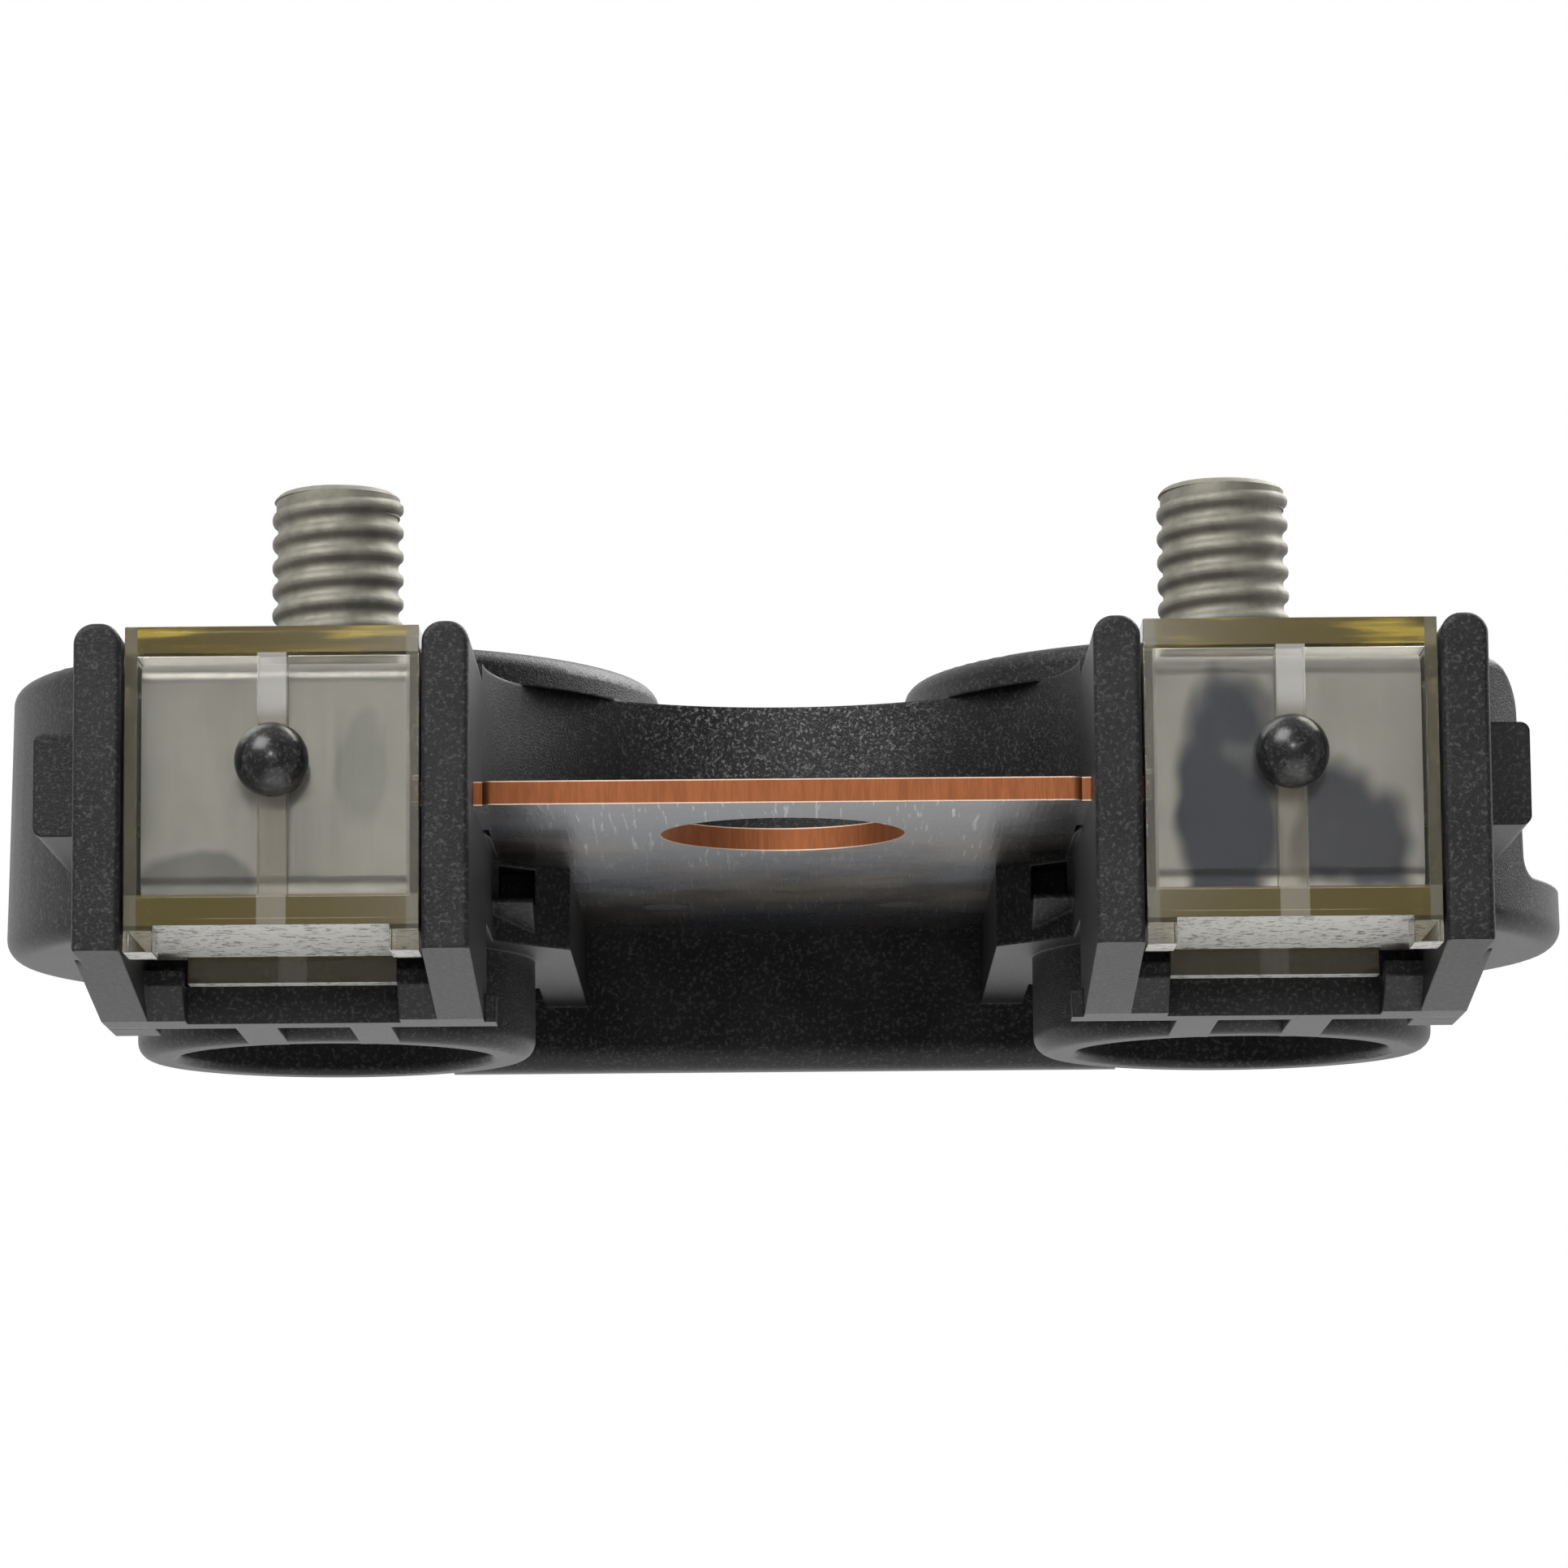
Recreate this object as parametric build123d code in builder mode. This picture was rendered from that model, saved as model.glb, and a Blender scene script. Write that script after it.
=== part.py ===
from build123d import *
import math
import os

# Battery fuse: a black moulding carries a tin-plated bus bar with the battery bolt hole, two round
# cups with an M6 stud each, and two fuse chambers at the front, closed by clear covers.
# Millimetres. X runs along the part, the chambers face -Y, the studs point up +Z. The origin is at
# the middle of the width and depth, on the plane that the ring feet stand on.

# Studs
thread_r = 3.0
neck_step = 0.18
neck_height = 0.3
stud_top_z = 26.0
stud_tip_chamfer = 0.7
head_flats = 10.0
head_height = 4.0

# Ring feet under the cups
ring_outer_r = 8.95
ring_inner_r = 7.0
ring_edge_r = 0.8
ring_mouth_r = 0.35

# Cups around the studs
cup_base_r = 14.85
cup_inner_x = 5.35
cup_base_z = 4.4
cup_top_z = 16.7
cup_draft = 1.2
cup_wall = 1.8
cup_base_edge_r = 0.95
cup_rim_outer_r = 0.75
cup_rim_inner_r = 0.4
floor_skin = 0.8
exit_width = 16.0
exit_floor_z = 6.9
exit_corner_r = 2.6
exit_foot_r = 0.9
exit_step = 0.95

# Fuse chambers: two fins and a back wall each
chamber_shift = 0.67
chamber_width = 12.3
chamber_depth = 12.7
fin_width = 1.95
fin_top_z = 15.2
fin_foot_z = 1.7
fin_slope_run = 1.2
fin_corner_r = 0.85
fin_edge_r = 0.25
outer_fin_run = 2.8
wall_gap = 0.95
wall_thickness = 1.8
wall_foot_z = 1.2
wall_foot_in = 0.47
wall_foot_out = 0.18
leg_taper_z = 3.0
taper_start = 0.1
rib_pitch = 4.9
rib_width = 1.75

# Lugs on the outer fins
lug_reach = 2.0
lug_setback = 3.5
lug_run = 4.5
lug_low_z = 6.85
lug_high_z = 11.15
lug_edge_r = 0.4

# Hooks that hold the lower lip of a cover
hook_reach = 1.6
hook_run = 2.7
hook_depth = 1.3
hook_tooth_z = 2.0
hook_low_z = 0.35
hook_rise = 1.0

# Posts through the covers, with formed heads
post_r = 1.15
post_z = 9.55
head_r = 1.53
post_clearance = 0.12

# Conductors
sheet = 1.0
plate_z = 8.0
plate_setback = 3.3
plate_side_gap = 0.27
plate_corner_r = 0.5
bolt_hole_r = 5.25
bolt_hole_setback = 9.8
pilot_hole_r = 1.05
pilot_hole_x = 5.5
pilot_hole_inset = 9.55
tongue_rest = 0.9
wing_gap = 1.8
strip_gap = 0.35
terminal_r = 9.0
tongue_width = 3.5
slot_gap = 0.15

# Fuse links behind the covers
link_sheet = 0.6
link_setback = 2.9
link_low_z = 4.1
link_high_z = 13.95
link_return = 4.0
link_side_gap = 0.1
link_bend_r = 0.9

# Recess over the plate and bay under it
recess_web = 1.17
bay_inset = 3.27
bay_lead = 2.9
bay_wall = 2.0
rear_wall = 1.8
rear_reach = 5.85
rear_low_z = 1.3
rear_edge_r = 1.2
deck_overlap = 3.23
ledge_width = 1.75
ledge_reach = 1.0
ledge_high_z = 6.2
ledge_lip = 0.2
pocket_high_z = 7.8
pocket_rim = 0.2

# Clear covers
cover_gap = 0.12
cover_setback = 0.48
cover_low_z = 2.75
cover_high_z = 15.1
cover_front_wall = 1.3
cover_side_wall = 0.4
cover_top_wall = 1.1
cover_bottom_wall = 1.25
cover_edge_r = 0.5
cover_rib_width = 1.2
cover_rib_depth = 0.5
foot_height = 1.1
foot_width = 1.2
foot_depth = 2.4
lip_low_z = 1.6
lip_depth = 1.2
lip_gap = 0.1

# Across the width
stud_x = cup_inner_x + cup_base_r
chamber_x = stud_x + chamber_shift
inner_face_x = chamber_x - chamber_width / 2
outer_face_x = chamber_x + chamber_width / 2
recess_r = inner_face_x - fin_width
bay_half_width = recess_r - bay_inset
deck_half_width = recess_r + deck_overlap
plate_half_width = recess_r - plate_side_gap
tongue_half_width = bay_half_width + tongue_rest
wing_end_x = chamber_x - post_r - strip_gap
tongue_x = chamber_x + post_r + strip_gap + tongue_width / 2
cover_width = chamber_width - 2 * cover_gap
link_width = cover_width - 2 * cover_side_wall - 2 * link_side_gap
post_hole_r = post_r + post_clearance
neck_r = thread_r + neck_step

# Upwards
plate_top_z = plate_z + sheet
floor_top_z = plate_top_z + floor_skin
cup_height = cup_top_z - cup_base_z
cup_bore_r = cup_base_r - cup_height * math.tan(math.radians(cup_draft)) - cup_wall
foot_low_z = cover_low_z - foot_height

# From the rear wall to the front of the heads
depth = rear_reach + 2 * cup_base_r + wall_gap + chamber_depth - cover_setback + head_r
rear_back_y = depth / 2
rear_face_y = rear_back_y - rear_wall
stud_y = rear_back_y - rear_reach - cup_base_r
wall_front_y = stud_y - cup_base_r - wall_gap
wall_back_y = wall_front_y + wall_thickness
fin_front_y = wall_front_y - chamber_depth
fin_slope_y = wall_front_y - fin_slope_run
hook_front_y = wall_front_y - hook_run
wing_back_y = wall_front_y - wing_gap
cover_front_y = fin_front_y + cover_setback
link_front_y = fin_front_y + link_setback
strip_front_y = link_front_y + link_sheet
plate_front_y = fin_front_y + plate_setback
bolt_hole_y = plate_front_y + bolt_hole_setback
recess_y = stud_y - math.sqrt((recess_r + recess_web + cup_bore_r) ** 2 - stud_x**2)
bay_front_y = recess_y + recess_r - bay_lead
bay_back_y = bay_front_y + bay_inset
shoulder_y = bay_front_y + plate_side_gap + tongue_rest


def slab(x_low, x_high, y_low, y_high, z_low, z_high, mode=Mode.ADD):
    """A block between two corners, in the current part."""
    with Locations(((x_low + x_high) / 2, (y_low + y_high) / 2, (z_low + z_high) / 2)):
        Box(x_high - x_low, y_high - y_low, z_high - z_low, mode=mode)


def side_profile(x_low, width, points, mode=Mode.ADD):
    """A profile drawn in Y and Z and run along X from x_low, in the current part."""
    with BuildSketch(Plane.YZ.offset(x_low)) as profile:
        with BuildLine():
            Polyline(*points, close=True)
        make_face()
    extrude(profile.sketch, amount=width, mode=mode)


def disc(x, y, z_low, height, radius, mode=Mode.ADD):
    """A round disc standing on z_low, in the current part."""
    with Locations((x, y, z_low + height / 2)):
        Cylinder(radius, height, mode=mode)


def circles():
    """The circular edges of the current part."""
    return edges().filter_by(GeomType.CIRCLE)


def cup():
    """The drafted cup with its base disc, standing on a ring foot."""
    with BuildPart() as shape:
        with BuildSketch(Plane.XY.offset(cup_base_z)):
            with Locations((stud_x, stud_y)):
                Circle(cup_base_r)
        extrude(amount=cup_height, taper=cup_draft)
        fillet(circles().group_by(Axis.Z)[-1], radius=cup_rim_outer_r)
        fillet(circles().group_by(Axis.Z)[0], radius=cup_base_edge_r)
        disc(stud_x, stud_y, 0, cup_base_z, ring_outer_r)
        fillet(circles().group_by(Axis.Z)[0], radius=ring_edge_r)
        disc(stud_x, stud_y, floor_top_z, cup_top_z - floor_top_z, cup_bore_r, mode=Mode.SUBTRACT)
        fillet(circles().group_by(Axis.Z)[-1].sort_by(SortBy.RADIUS)[0], radius=cup_rim_inner_r)
        disc(stud_x, stud_y, 0, cup_base_z, ring_inner_r, mode=Mode.SUBTRACT)
        fillet(circles().group_by(Axis.Z)[0].sort_by(SortBy.RADIUS)[0], radius=ring_mouth_r)
    return shape.part


def fin(x_low, back_y):
    """One upright fin of a chamber, its foot sloping down to the back wall."""
    with BuildPart() as shape:
        side_profile(
            x_low,
            fin_width,
            [
                (fin_front_y, fin_foot_z),
                (fin_front_y, fin_top_z),
                (back_y, fin_top_z),
                (back_y, 0),
                (fin_slope_y, 0),
            ],
        )
        fillet(edges().filter_by(Axis.Y).group_by(Axis.Z)[-1], radius=fin_corner_r)
        fillet(edges().filter_by(Axis.Z).group_by(Axis.Y)[0], radius=fin_edge_r)
    return shape.part


def lug():
    """The square lug on the outer fin, running back to the cup."""
    root_x = outer_face_x + fin_width - fin_edge_r
    with BuildPart() as shape:
        slab(
            root_x,
            root_x + fin_edge_r + lug_reach,
            fin_front_y + lug_setback,
            wall_back_y + lug_run,
            lug_low_z,
            lug_high_z,
        )
        fillet(edges().filter_by(Axis.Y).group_by(Axis.X)[-1], radius=lug_edge_r)
    return shape.part


def hook(x_low):
    """A hook on the inner face of a fin: a slanted wedge that ends in an upright tooth."""
    tooth_back_y = hook_front_y + hook_depth
    side_profile(
        x_low,
        hook_reach,
        [
            (hook_front_y, hook_low_z + hook_rise),
            (hook_front_y, hook_tooth_z),
            (tooth_back_y, hook_tooth_z),
            (tooth_back_y, lip_low_z - lip_gap),
            (wall_front_y, lip_low_z - lip_gap),
            (wall_front_y, 0),
            (fin_slope_y, 0),
        ],
    )


def ledge():
    """The ledge beside an inner fin, under the plate, with its slanted underside."""
    ledge_front_y = bay_front_y - ledge_reach
    with BuildPart() as shape:
        side_profile(
            recess_r - ledge_width,
            ledge_width,
            [
                (bay_back_y, cup_base_z),
                (ledge_front_y, ledge_high_z - ledge_lip),
                (ledge_front_y, ledge_high_z),
                (bay_back_y, ledge_high_z),
            ],
        )
    return shape.part


def wall_foot():
    """The lower end of a chamber's back wall, which stands out past the inner fin."""
    with BuildPart() as shape:
        slab(recess_r - wall_foot_in, inner_face_x, wall_front_y, wall_back_y, 0, wall_foot_z)
    return shape.part


def post():
    """The post that passes through a link and a cover, with its formed ball head."""
    with BuildPart() as shape:
        with Locations((chamber_x, cover_front_y, post_z)):
            Sphere(head_r)
        slab(
            chamber_x - 2 * head_r,
            chamber_x + 2 * head_r,
            cover_front_y,
            cover_front_y + 2 * head_r,
            post_z - 2 * head_r,
            post_z + 2 * head_r,
            mode=Mode.SUBTRACT,
        )
        post_length = wall_front_y - cover_front_y
        with Locations((chamber_x, wall_front_y - post_length / 2, post_z)):
            Cylinder(post_r, post_length, rotation=(90, 0, 0))
    return shape.part


with BuildPart() as leg_taper:
    # What is cut off an outer leg: nothing at its front, a wedge where it meets the back wall
    with BuildSketch(Plane.XZ.offset(-fin_front_y)) as front_end:
        with Locations((outer_face_x + fin_width, fin_foot_z)):
            Rectangle(taper_start, taper_start)
    with BuildSketch(Plane.XZ.offset(-wall_back_y)) as back_end:
        with BuildLine():
            Polyline(
                (outer_face_x + fin_width + taper_start, 0),
                (outer_face_x + fin_width + taper_start, leg_taper_z),
                (outer_face_x + fin_width, leg_taper_z),
                (outer_face_x + wall_foot_out, 0),
                close=True,
            )
        make_face()
    loft([front_end.sketch, back_end.sketch], ruled=True)

with BuildPart() as half:
    # The right half of the moulding, without what is cut out of both halves
    add(cup())
    slab(
        recess_r,
        outer_face_x + wall_foot_out,
        wall_front_y,
        wall_back_y,
        0,
        fin_top_z,
    )
    add(fin(inner_face_x - fin_width, wall_back_y))
    add(fin(outer_face_x, wall_back_y + outer_fin_run))
    add(leg_taper.part, mode=Mode.SUBTRACT)
    add(lug())
    hook(inner_face_x)
    hook(outer_face_x - hook_reach)
    for rib_x in (stud_x - rib_pitch / 2, stud_x + rib_pitch / 2):
        slab(rib_x - rib_width / 2, rib_x + rib_width / 2, wall_back_y, stud_y - ring_inner_r, 0, cup_base_z)
    add(post())
    # What closes the space between cup and bay, from the base of the cup up to its floor
    block_back_y = bay_back_y + bay_wall
    slab(recess_r, inner_face_x, wall_front_y, block_back_y, cup_base_z, floor_top_z)
    slab(bay_half_width, inner_face_x, bay_front_y, block_back_y, cup_base_z, floor_top_z)
    slab(bay_half_width, bay_half_width + bay_wall, bay_front_y, rear_back_y, cup_base_z, floor_top_z)

with BuildPart() as u_wall:
    # The wall round the back of the bolt hole, in line with the inner fins
    with BuildSketch(Plane.XY.offset(plate_z)):
        with Locations((0, recess_y)):
            Circle(recess_r + fin_width)
            Circle(recess_r, mode=Mode.SUBTRACT)
        with Locations((0, recess_y - recess_r)):
            Rectangle(4 * recess_r, 2 * recess_r, mode=Mode.SUBTRACT)
    extrude(amount=fin_top_z - plate_z)

with BuildPart() as bus_bar:
    # Plate with the bolt hole, its tongue to the rear and a wing into each chamber
    with BuildSketch(Plane.XY.offset(plate_z)):
        with BuildLine():
            Polyline(
                (-plate_half_width, plate_front_y),
                (plate_half_width, plate_front_y),
                (plate_half_width, shoulder_y),
                (tongue_half_width, bay_back_y),
                (tongue_half_width, rear_face_y),
                (-tongue_half_width, rear_face_y),
                (-tongue_half_width, bay_back_y),
                (-plate_half_width, shoulder_y),
                close=True,
            )
        make_face()
        fillet(vertices().group_by(Axis.Y)[0], radius=plate_corner_r)
        with Locations((0, (strip_front_y + wing_back_y) / 2)):
            Rectangle(2 * wing_end_x, wing_back_y - strip_front_y)
        with Locations((0, bolt_hole_y)):
            Circle(bolt_hole_r, mode=Mode.SUBTRACT)
        pilot_hole_y = rear_face_y - pilot_hole_inset
        with Locations((-pilot_hole_x, pilot_hole_y), (pilot_hole_x, pilot_hole_y)):
            Circle(pilot_hole_r, mode=Mode.SUBTRACT)
    extrude(amount=sheet)

with BuildPart() as terminal_right:
    # Round terminal under the stud's nut, with a tongue that reaches the fuse link
    with BuildSketch(Plane.XY.offset(plate_z)):
        with Locations((stud_x, stud_y)):
            Circle(terminal_r)
        with Locations((tongue_x, (strip_front_y + stud_y) / 2)):
            Rectangle(tongue_width, stud_y - strip_front_y)
        with Locations((stud_x, stud_y)):
            Circle(neck_r, mode=Mode.SUBTRACT)
    extrude(amount=sheet)

with BuildPart() as link_right:
    # Folded sheet behind the cover, across the ends of the wing and the tongue
    with BuildSketch(Plane.YZ.offset(chamber_x - link_width / 2)):
        with BuildLine():
            low_y = link_front_y + link_return
            FilletPolyline(
                (low_y, link_low_z),
                (link_front_y, link_low_z),
                (link_front_y, link_high_z),
                (low_y, link_high_z),
                radius=link_bend_r,
            )
            offset(amount=link_sheet, side=Side.RIGHT)
        make_face()
    extrude(amount=link_width)
    with Locations((chamber_x, link_front_y + link_sheet / 2, post_z)):
        Cylinder(post_hole_r, link_sheet, rotation=(90, 0, 0), mode=Mode.SUBTRACT)

with BuildPart() as stud_right:
    # M6 stud: hexagon head under the terminal, a neck pressed into its hole, then a plain cylinder
    # at the thread's crests
    with BuildSketch(Plane.XY.offset(plate_z - head_height)):
        with Locations((stud_x, stud_y)):
            RegularPolygon(head_flats / 2, 6, major_radius=False)
    extrude(amount=head_height)
    disc(stud_x, stud_y, plate_z, sheet + neck_height, neck_r)
    disc(stud_x, stud_y, plate_z, stud_top_z - plate_z, thread_r)
    chamfer(circles().group_by(Axis.Z)[-1], length=stud_tip_chamfer)

with BuildPart() as cover_right:
    # Clear box, open at the back, with a rib down the inside, two feet and a lower lip
    low_x = chamber_x - cover_width / 2
    high_x = chamber_x + cover_width / 2
    slab(low_x, high_x, cover_front_y, wall_front_y, cover_low_z, cover_high_z)
    slab(low_x, low_x + foot_width, cover_front_y, cover_front_y + foot_depth, foot_low_z, cover_low_z)
    slab(high_x - foot_width, high_x, cover_front_y, cover_front_y + foot_depth, foot_low_z, cover_low_z)
    fillet(edges().filter_by(Axis.Z).group_by(Axis.Y)[0], radius=cover_edge_r)
    fillet(edges().filter_by(Axis.Y).group_by(Axis.Z)[-1], radius=cover_edge_r)
    slab(
        inner_face_x + hook_reach + lip_gap,
        outer_face_x - hook_reach - lip_gap,
        wall_front_y - lip_depth,
        wall_front_y,
        lip_low_z,
        cover_low_z,
    )
    inside_front_y = cover_front_y + cover_front_wall
    slab(
        low_x + cover_side_wall,
        high_x - cover_side_wall,
        inside_front_y,
        wall_front_y,
        cover_low_z + cover_bottom_wall,
        cover_high_z - cover_top_wall,
        mode=Mode.SUBTRACT,
    )
    slab(
        chamber_x - cover_rib_width / 2,
        chamber_x + cover_rib_width / 2,
        inside_front_y,
        inside_front_y + cover_rib_depth,
        cover_low_z + cover_bottom_wall,
        cover_high_z - cover_top_wall,
    )
    slab(
        low_x,
        low_x + cover_side_wall,
        strip_front_y - slot_gap,
        wall_front_y,
        plate_z - slot_gap,
        plate_top_z + slot_gap,
        mode=Mode.SUBTRACT,
    )
    hole_length = cover_front_wall + cover_rib_depth
    with Locations((chamber_x, cover_front_y + hole_length / 2, post_z)):
        Cylinder(post_hole_r, hole_length, rotation=(90, 0, 0), mode=Mode.SUBTRACT)

with BuildPart() as exit_cut:
    # The cable's way out of the right cup, flared at the rim and rounded at its floor
    half_exit = exit_width / 2
    flare_y = half_exit + exit_corner_r
    with BuildSketch(Plane(origin=(stud_x, stud_y, 0), x_dir=(0, 1, 0), z_dir=(1, 0, 0))):
        with BuildLine():
            Polyline(
                (-flare_y, cup_top_z + 1),
                (-flare_y, cup_top_z),
            )
            RadiusArc((-flare_y, cup_top_z), (-half_exit, cup_top_z - exit_corner_r), exit_corner_r)
            FilletPolyline(
                (-half_exit, cup_top_z - exit_corner_r),
                (-half_exit, exit_floor_z),
                (half_exit, exit_floor_z),
                (half_exit, cup_top_z - exit_corner_r),
                radius=exit_foot_r,
            )
            RadiusArc((half_exit, cup_top_z - exit_corner_r), (flare_y, cup_top_z), exit_corner_r)
            Polyline(
                (flare_y, cup_top_z),
                (flare_y, cup_top_z + 1),
                (-flare_y, cup_top_z + 1),
            )
        make_face()
    extrude(amount=2 * cup_base_r)
    # The floor round the terminal stays
    slab(
        stud_x,
        stud_x + terminal_r + exit_step,
        stud_y - flare_y,
        stud_y + flare_y,
        0,
        floor_top_z,
        mode=Mode.SUBTRACT,
    )

with BuildPart() as rear:
    # The rear wall, rounded at its lower front edge
    slab(-deck_half_width, deck_half_width, rear_face_y, rear_back_y, rear_low_z, fin_top_z)
    fillet(edges().filter_by(Axis.X).group_by(Axis.Z)[0].sort_by(Axis.Y)[0], radius=rear_edge_r)

with BuildPart() as housing:
    add(half.part)
    mirror(half.part, about=Plane.YZ)
    # Deck over the back of the plate, with the rear wall behind it
    slab(-deck_half_width, deck_half_width, recess_y + recess_r, rear_back_y, plate_z, floor_top_z)
    add(rear.part)
    add(u_wall.part)
    # Clear the recess above the plate, up to the top of the fins, and the bay below it
    with BuildSketch(Plane.XY.offset(plate_z)):
        with Locations((0, recess_y)):
            Circle(recess_r)
        with Locations((0, recess_y - recess_r)):
            Rectangle(2 * recess_r, 2 * recess_r)
    extrude(amount=fin_top_z - plate_z, mode=Mode.SUBTRACT)
    with BuildSketch():
        with BuildLine():
            Polyline(
                (-recess_r, fin_front_y),
                (-recess_r, bay_front_y),
                (-bay_half_width, bay_back_y),
                (-bay_half_width, rear_face_y),
                (bay_half_width, rear_face_y),
                (bay_half_width, bay_back_y),
                (recess_r, bay_front_y),
                (recess_r, fin_front_y),
                close=True,
            )
        make_face()
    extrude(amount=plate_z, mode=Mode.SUBTRACT)
    add(ledge())
    mirror(ledge(), about=Plane.YZ)
    add(wall_foot())
    mirror(wall_foot(), about=Plane.YZ)
    for side in (-1, 1):
        # Pocket over the ledge
        pocket_ends = (side * (recess_r - ledge_width), side * (recess_r - pocket_rim))
        slab(
            min(pocket_ends),
            max(pocket_ends),
            bay_front_y - ledge_reach,
            bay_back_y,
            ledge_high_z,
            pocket_high_z,
            mode=Mode.SUBTRACT,
        )
    add(bus_bar.part, mode=Mode.SUBTRACT)
    for side in (-1, 1):
        cup_x = side * stud_x
        disc(cup_x, stud_y, floor_top_z, cup_top_z - floor_top_z, cup_bore_r, mode=Mode.SUBTRACT)
        disc(cup_x, stud_y, plate_z, floor_top_z - plate_z, terminal_r, mode=Mode.SUBTRACT)
        disc(cup_x, stud_y, 0, cup_base_z, ring_inner_r, mode=Mode.SUBTRACT)
        slab(
            side * tongue_x - tongue_width / 2,
            side * tongue_x + tongue_width / 2,
            wall_front_y,
            stud_y - terminal_r / 2,
            plate_z,
            plate_top_z,
            mode=Mode.SUBTRACT,
        )
        with BuildSketch(Plane.XY.offset(plate_z - head_height)):
            with Locations((cup_x, stud_y)):
                RegularPolygon(head_flats / 2, 6, major_radius=False)
        extrude(amount=head_height, mode=Mode.SUBTRACT)
    add(exit_cut.part, mode=Mode.SUBTRACT)

pieces = {"housing": housing, "bus_bar": bus_bar}
for name, right in (
    ("terminal", terminal_right),
    ("link", link_right),
    ("stud", stud_right),
    ("cover", cover_right),
):
    with BuildPart() as left:
        mirror(right.part, about=Plane.YZ)
    pieces[name + "_right"] = right
    pieces[name + "_left"] = left

os.makedirs("parts", exist_ok=True)
for name, piece in pieces.items():
    piece.part.label = name
    export_step(piece.part, f"parts/{name}.step")
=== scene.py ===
"""Dresses the battery fuse: threaded studs, clear covers, plated metal, a grained moulding."""

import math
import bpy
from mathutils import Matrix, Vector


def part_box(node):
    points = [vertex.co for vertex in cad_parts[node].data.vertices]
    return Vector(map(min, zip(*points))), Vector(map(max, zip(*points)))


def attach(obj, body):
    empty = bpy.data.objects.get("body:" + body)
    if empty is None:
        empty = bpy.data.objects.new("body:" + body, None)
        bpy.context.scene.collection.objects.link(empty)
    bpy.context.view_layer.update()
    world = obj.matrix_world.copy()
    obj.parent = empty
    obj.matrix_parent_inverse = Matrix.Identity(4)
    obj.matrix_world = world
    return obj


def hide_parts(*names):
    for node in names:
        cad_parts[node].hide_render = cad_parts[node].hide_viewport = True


bl_info = {
    "name": "Battery Fuse",
    "version": (1, 0, 0),
    "blender": (4, 5, 0),
    "location": "View3D > Sidebar > Battery Fuse",
    "description": "Dresses the battery fuse's frame with its threads, clear covers and finishes",
    "category": "Object",
}

import bmesh
import bpy
from bpy.props import FloatProperty, FloatVectorProperty, IntProperty, PointerProperty
from mathutils import Matrix, Vector

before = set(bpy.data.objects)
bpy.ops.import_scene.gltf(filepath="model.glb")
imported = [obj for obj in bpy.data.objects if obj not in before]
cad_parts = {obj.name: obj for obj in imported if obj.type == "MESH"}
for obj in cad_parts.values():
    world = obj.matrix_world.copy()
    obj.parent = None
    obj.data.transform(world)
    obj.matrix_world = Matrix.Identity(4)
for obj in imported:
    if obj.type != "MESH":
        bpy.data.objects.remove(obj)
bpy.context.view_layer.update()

MM = 0.001
BODY = "root"
SIDES = {"left": -1, "right": 1}

# A face looks along an axis where its normal's part along that axis is at least this.
SQUARE_ON = 0.9
# Places closer together than this count as one.
NEAR = 0.05 * MM
# Edges that turn by more degrees than this are sharp.
SHARP = 35
# How close a cut may come to a vertex before it uses that vertex, in metres.
CUT_THRESHOLD = 1e-7
# Extra length of a tool, so that it passes right through what it cuts.
OVERSHOOT = 1 * MM

# Dark patches painted on the links as reflections of dark surroundings: side, place beside and above
# the formed head, reach, strength.
DARK_REFLECTION_MARKS = (
    ("right", (-2.4 * MM, -1.2 * MM), (2.1 * MM, 4.5 * MM), 0.95),
    ("right", (3.2 * MM, -3.3 * MM), (2.9 * MM, 2.8 * MM), 0.9),
    ("left", (-3.4 * MM, -4.9 * MM), (2.4 * MM, 1.3 * MM), 0.5),
    ("left", (3.6 * MM, -1.2 * MM), (1.1 * MM, 2.8 * MM), 0.2),
)
# A painted highlight on the wall of the bolt recess, drawn as pale specks: reach sideways, reach
# down, and the depth it ends at.
HIGHLIGHT_WIDE, HIGHLIGHT_TALL, HIGHLIGHT_BACK = 8.5 * MM, 3.6 * MM, 0.3 * MM
# The depths between which the plate's tarnish grows.
TARNISH_FROM, TARNISH_TO = -14 * MM, -4 * MM

# One crest of the thread up to its top: share of the pitch, share of the thread's depth.
CREST = ((0.0, 0.0), (0.1, 0.04), (0.2, 0.28), (0.31, 0.78), (0.4, 0.95), (0.5, 1.0))

# Soft square lamps: name, place, size, power. All point at the middle of the part.
LAMPS = (
    ("key", (-0.35, -0.45, 0.55), 0.5, 7),
    ("glint", (0.0, -0.5, 0.092), 0.05, 0.5),
    ("rim", (0.4, 0.35, 0.45), 0.5, 6),
    ("under", (0.1, -0.25, -0.5), 0.6, 1.6),
)
AIM = Vector((0, 0, 0.012))
FLOOR_RADIUS = 1.5
# The distances between which the floor fades to white.
FLOOR_FADE = (0.12, 0.6)


def colour_prop(name, description, default):
    return FloatVectorProperty(
        name=name, description=description, default=default, subtype="COLOR", min=0, max=1, size=3
    )


def length_prop(name, description, default):
    return FloatProperty(
        name=name, description=description, default=default, unit="LENGTH", precision=5, min=0
    )


def angle_prop(name, description, degrees):
    return FloatProperty(
        name=name, description=description, default=math.radians(degrees), subtype="ANGLE"
    )


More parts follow.
